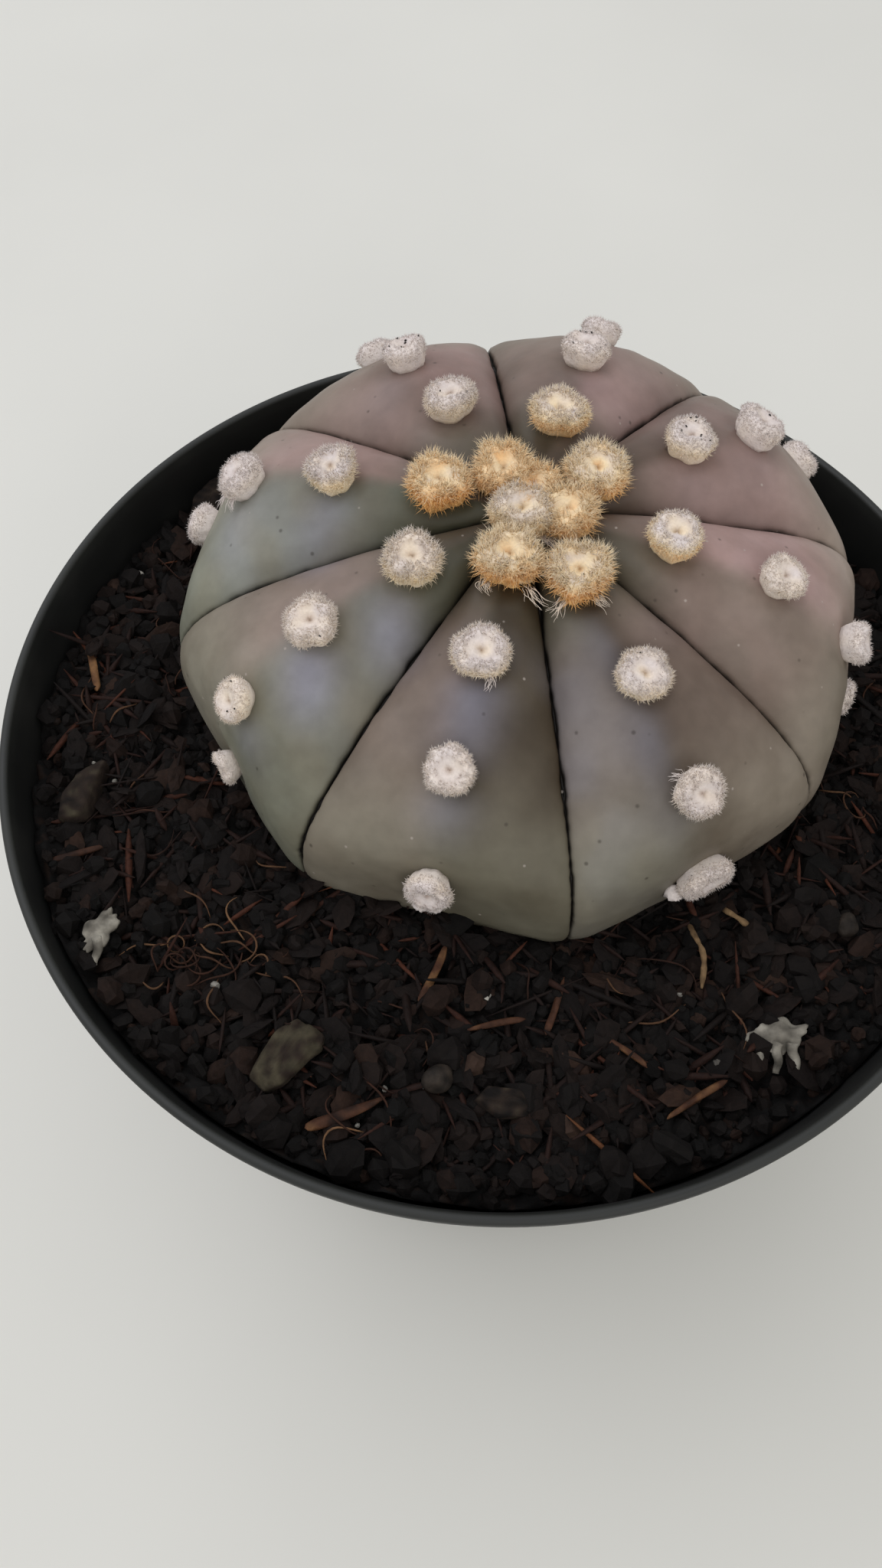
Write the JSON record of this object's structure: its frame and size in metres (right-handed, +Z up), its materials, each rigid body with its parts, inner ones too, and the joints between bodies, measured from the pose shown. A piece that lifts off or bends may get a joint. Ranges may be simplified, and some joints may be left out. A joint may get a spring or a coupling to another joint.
{
  "type": "potted round cactus",
  "caption": "Low round spineless cactus with broad ribs, thin furrows and rows of woolly tufts, growing in dark bark mix in a plain round black plastic pot.",
  "frame": {"origin": "centre of the circle that the pot's foot ring stands on, at the surface it stands on", "axes": "+Z up along the pot's axis; -Y is the front, towards which the plant leans a degree; +X to the right seen from the front"},
  "size_m": [0.12, 0.12, 0.1147],
  "materials": {
    "pot_plastic": "moulded black polypropylene, satin",
    "potting_mix": "damp dark bark and peat crumbs",
    "cactus_skin": "waxy olive skin flushed mauve brown",
    "young_wool": "fresh cream and ochre plant wool",
    "old_wool": "old pinkish white plant wool",
    "bark": "rough dark bark",
    "splintered_wood": "torn reddish tan wood",
    "husk": "dry pale grey husk",
    "stone": "dull grey grit"
  },
  "bodies": {
    "root": {"bark_chip_1": "bark", "bark_chip_2": "bark", "bark_chip_3": "bark", "bark_chip_4": "bark", "bark_chip_5": "bark", "bark_chip_6": "bark", "cactus_body": "cactus_skin", "dry_root_1": "splintered_wood", "dry_root_2": "splintered_wood", "husk_flake_1": "husk", "husk_flake_2": "husk", "pebble_1": "stone", "pebble_2": "stone", "pot": "pot_plastic", "potting_mix": "potting_mix", "wood_splinter_1": "splintered_wood", "wood_splinter_2": "splintered_wood", "wood_splinter_3": "splintered_wood", "wood_splinter_4": "splintered_wood", "wood_splinter_5": "splintered_wood", "wood_splinter_6": "splintered_wood", "wood_splinter_7": "splintered_wood", "wood_splinter_8": "splintered_wood", "wool_tuft_crown": "young_wool", "wool_tuft_rib1_1": "young_wool", "wool_tuft_rib1_2": "old_wool", "wool_tuft_rib1_3": "old_wool", "wool_tuft_rib1_4": "old_wool", "wool_tuft_rib2_1": "young_wool", "wool_tuft_rib2_2": "old_wool", "wool_tuft_rib2_3": "old_wool", "wool_tuft_rib2_4": "old_wool", "wool_tuft_rib3_1": "young_wool", "wool_tuft_rib3_2": "old_wool", "wool_tuft_rib3_3": "old_wool", "wool_tuft_rib3_4": "old_wool", "wool_tuft_rib3_5": "old_wool", "wool_tuft_rib4_1": "young_wool", "wool_tuft_rib4_2": "old_wool", "wool_tuft_rib4_3": "old_wool", "wool_tuft_rib4_4": "old_wool", "wool_tuft_rib5_1": "young_wool", "wool_tuft_rib5_2": "old_wool", "wool_tuft_rib5_3": "old_wool", "wool_tuft_rib5_4": "old_wool", "wool_tuft_rib5_5": "old_wool", "wool_tuft_rib6_1": "young_wool", "wool_tuft_rib6_2": "old_wool", "wool_tuft_rib6_3": "old_wool", "wool_tuft_rib6_4": "old_wool", "wool_tuft_rib6_5": "old_wool", "wool_tuft_rib7_1": "young_wool", "wool_tuft_rib7_2": "old_wool", "wool_tuft_rib7_3": "old_wool", "wool_tuft_rib7_4": "old_wool", "wool_tuft_rib8_1": "old_wool", "wool_tuft_rib8_2": "old_wool", "wool_tuft_rib8_3": "old_wool", "wool_tuft_rib8_4": "old_wool"}
  },
  "joints": []
}
